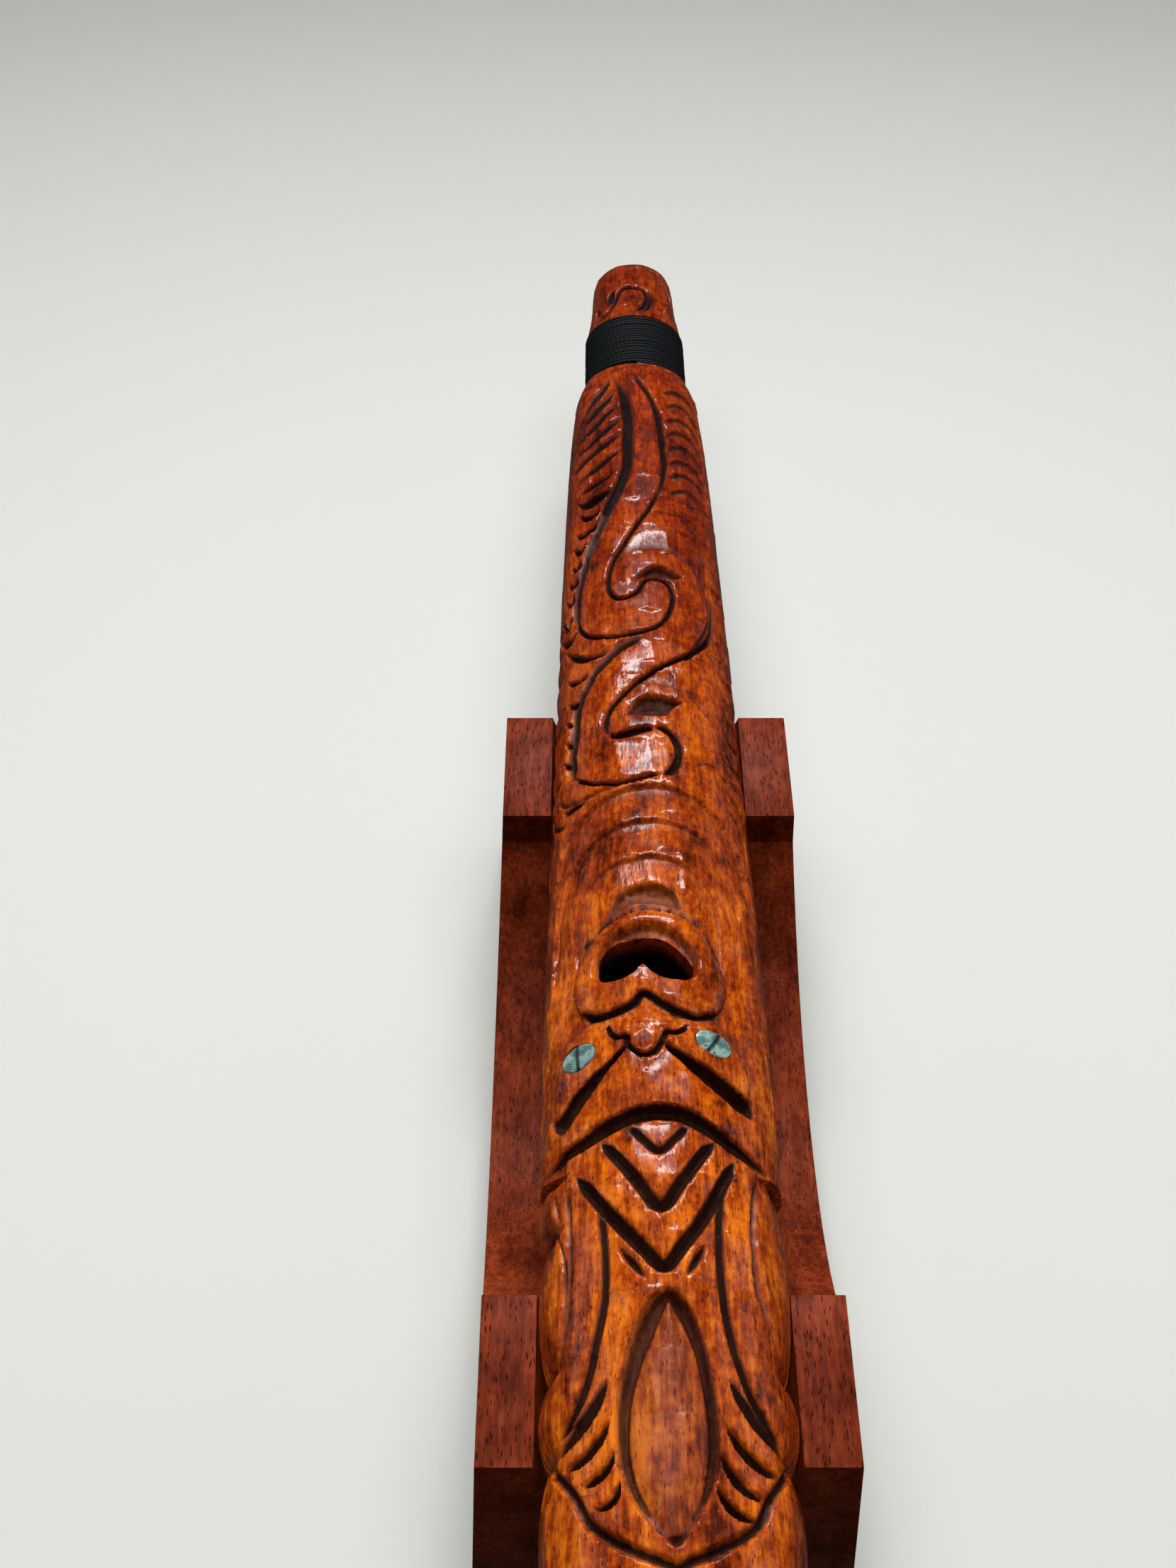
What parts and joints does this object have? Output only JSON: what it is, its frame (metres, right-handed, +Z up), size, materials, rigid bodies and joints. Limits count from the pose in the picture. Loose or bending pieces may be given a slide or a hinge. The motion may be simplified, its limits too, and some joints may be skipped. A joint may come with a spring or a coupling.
{
  "type": "carved bugle flute on a cradle stand",
  "caption": "Long carved wooden bugle flute with thread bindings and shell eyes, lying in the notches of a low saddle-shaped wooden stand.",
  "frame": {"origin": "middle of the stand's base, on the surface it rests on", "axes": "+Z up, +Y along the flute towards its blowing end, +X across the stand"},
  "size_m": [0.0712, 0.56, 0.0704],
  "materials": {
    "stand_wood": "satin varnish",
    "carved_wood": "gloss varnish over hand-tooled carving",
    "waxed_thread": "waxed thread",
    "shell_inlay": "polished shell"
  },
  "bodies": {
    "stand": {"stand": "stand_wood"},
    "flute": {"flute_front_half": "carved_wood", "flute_back_half": "carved_wood", "head_binding": "waxed_thread", "tail_binding": "waxed_thread", "left_eye_shell": "shell_inlay", "right_eye_shell": "shell_inlay"}
  },
  "joints": [
    {"name": "flute_lift", "type": "slide", "parent": "stand", "child": "flute", "axis": [0, 0, 1], "range_m": [0, 0.08]}
  ]
}
